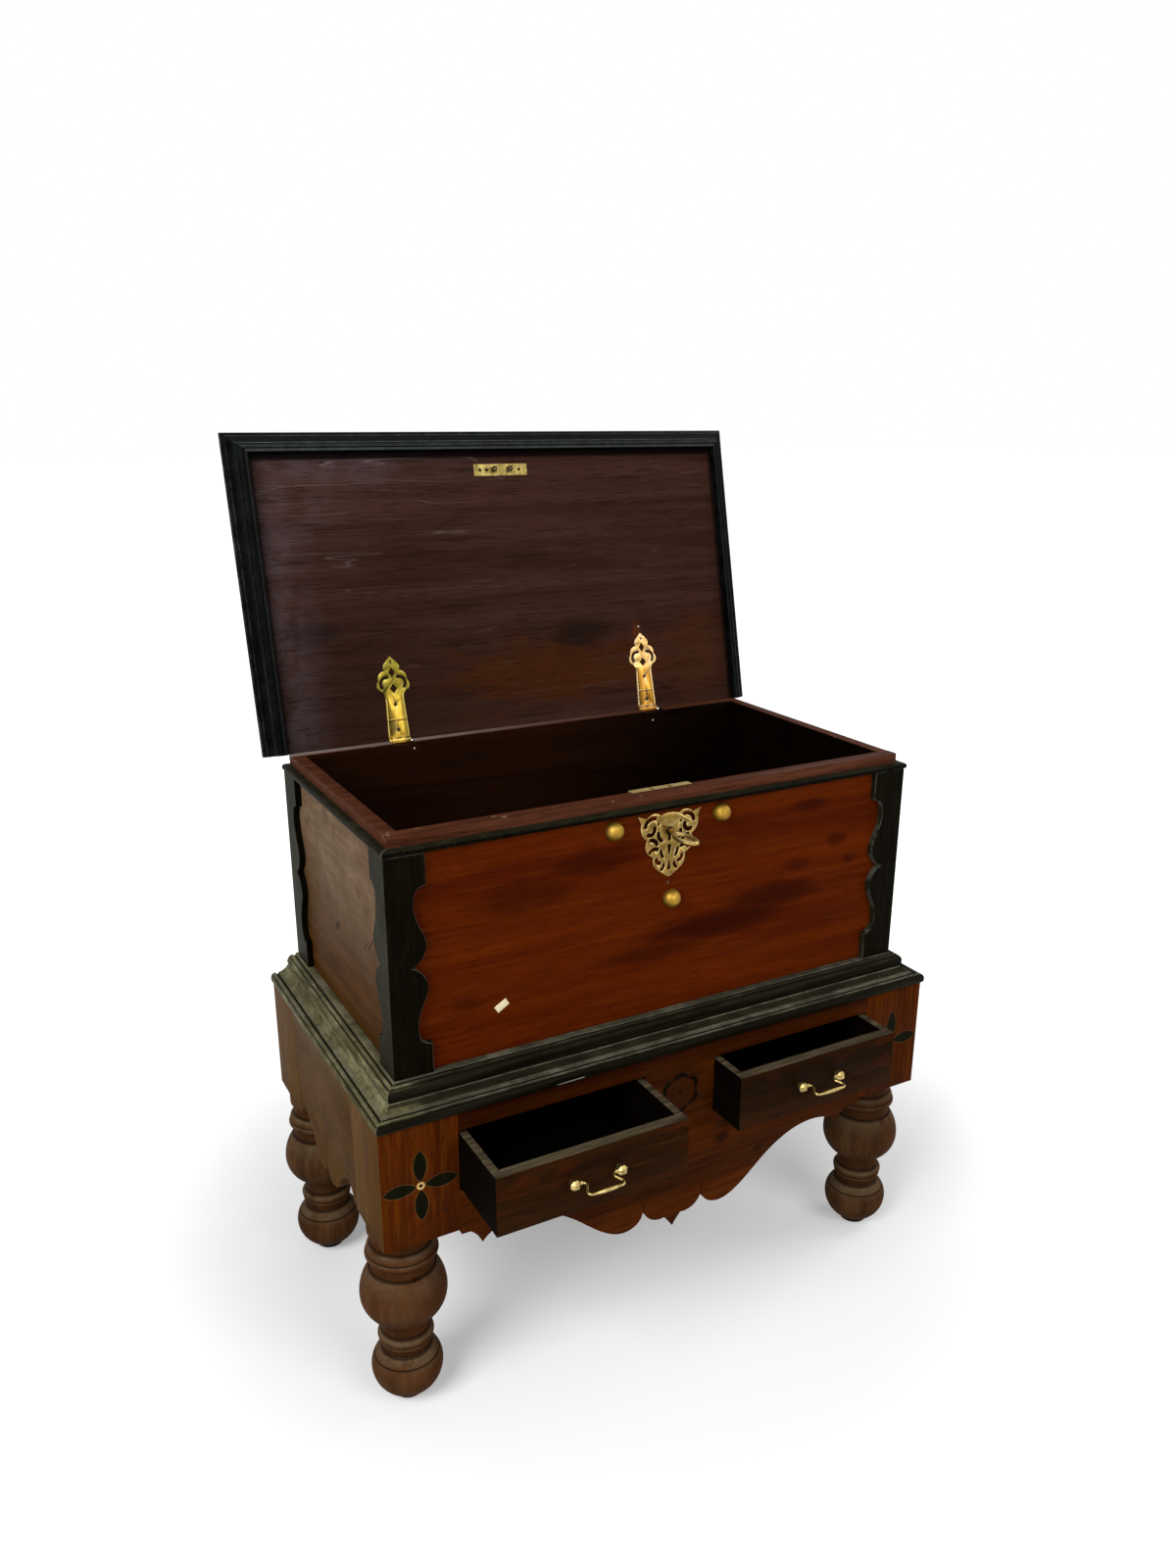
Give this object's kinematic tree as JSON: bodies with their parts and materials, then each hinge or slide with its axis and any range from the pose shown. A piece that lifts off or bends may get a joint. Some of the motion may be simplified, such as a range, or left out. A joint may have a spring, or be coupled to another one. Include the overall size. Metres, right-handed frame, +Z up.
{
  "type": "dowry chest on stand",
  "caption": "Wooden dowry chest with a hinged lid, brass hinges, lock and key, on a stand with turned legs and pull-out drawers.",
  "frame": {"origin": "floor point under the middle of the bounding box at rest, with the lid open and the drawers part out", "axes": "+X to the right seen from the front, +Y towards the back where the lid is hinged, +Z up"},
  "size_m": [1.035, 0.8335, 1.4325],
  "materials": {
    "turned_wood": "old dark polish, dusty",
    "stand_wood": "worn satin",
    "plain_wood": "bare",
    "black_inlay": "satin",
    "bone": "dull bone",
    "black_wood": "worn satin",
    "chest_wood": "worn satin",
    "lid_wood": "worn, stained",
    "iron": "dark, lightly rusted",
    "drawer_wood": "worn satin",
    "brass": "aged"
  },
  "bodies": {
    "chest_and_stand": {"back_apron": "stand_wood", "black_inlays": "black_inlay", "bone_rings": "bone", "boss_nails": "brass", "centre_stile": "stand_wood", "chest_back_board": "chest_wood", "chest_bottom_board": "chest_wood", "chest_front_board": "chest_wood", "chest_left_board": "chest_wood", "chest_right_board": "chest_wood", "corner_strap_front_left": "black_wood", "corner_strap_front_right": "black_wood", "corner_straps_back": "black_wood", "drawer_guides": "plain_wood", "drawer_runners": "plain_wood", "escutcheon": "brass", "front_apron": "stand_wood", "front_top_rail": "stand_wood", "hinge_body_leaves": "brass", "hinge_pins": "iron", "joint_pegs": "plain_wood", "leg_back_left": "turned_wood", "leg_back_right": "turned_wood", "leg_front_left": "turned_wood", "leg_front_right": "turned_wood", "lock_case": "iron", "lower_moulding_back": "black_wood", "lower_moulding_front": "black_wood", "lower_moulding_sides": "black_wood", "post_back_left": "stand_wood", "post_back_right": "stand_wood", "post_front_left": "stand_wood", "post_front_right": "stand_wood", "rim_beads": "black_wood", "selvedge_plate": "brass", "side_aprons": "stand_wood", "upper_moulding_back": "black_wood", "upper_moulding_front": "black_wood", "upper_moulding_sides": "black_wood"},
    "lid": {"lid_panel": "lid_wood", "lid_moulding_front": "black_wood", "lid_moulding_sides": "black_wood", "lid_plate": "brass", "lid_staples": "iron", "hinge_lid_leaves": "brass"},
    "drawer_left": {"drawer_left_front": "drawer_wood", "drawer_left_sides": "drawer_wood", "drawer_left_back": "drawer_wood", "drawer_left_bottom": "drawer_wood", "drawer_left_handle_posts": "brass"},
    "drawer_right": {"drawer_right_front": "drawer_wood", "drawer_right_sides": "drawer_wood", "drawer_right_back": "drawer_wood", "drawer_right_bottom": "drawer_wood", "drawer_right_handle_posts": "brass"},
    "bail_left": {"bail_left": "brass"},
    "bail_right": {"bail_right": "brass"},
    "key": {"key": "brass"},
    "lock_bolt": {"lock_bolt": "iron"}
  },
  "joints": [
    {"name": "lid_hinge", "type": "hinge", "parent": "chest_and_stand", "child": "lid", "pos_m": [0, 0.28049, 0.9243], "axis": [1, 0, 0], "range_deg": [0, 102.7]},
    {"name": "drawer_left_slide", "type": "slide", "parent": "chest_and_stand", "child": "drawer_left", "axis": [0, -1, 0], "range_m": [-0.1247, 0.195]},
    {"name": "drawer_right_slide", "type": "slide", "parent": "chest_and_stand", "child": "drawer_right", "axis": [0, -1, 0], "range_m": [-0.0709, 0.249]},
    {"name": "bail_left_swing", "type": "hinge", "parent": "drawer_left", "child": "bail_left", "pos_m": [-0.225, -0.38621, 0.4395], "axis": [-1, 0, 0], "range_deg": [0, 92]},
    {"name": "bail_right_swing", "type": "hinge", "parent": "drawer_right", "child": "bail_right", "pos_m": [0.217, -0.33241, 0.4395], "axis": [-1, 0, 0], "range_deg": [0, 92]},
    {"name": "key_turn", "type": "hinge", "parent": "chest_and_stand", "child": "key", "pos_m": [0, -0.20451, 0.864], "axis": [0, 1, 0], "range_deg": [-98, 102]},
    {"name": "lock_bolt_slide", "type": "slide", "parent": "chest_and_stand", "child": "lock_bolt", "axis": [1, 0, 0], "range_m": [-0.00784, 0.00816]}
  ],
  "couplings": [
    {"joint": "lock_bolt_slide", "follows": "key_turn", "m_per_rad": 0.0045837}
  ]
}
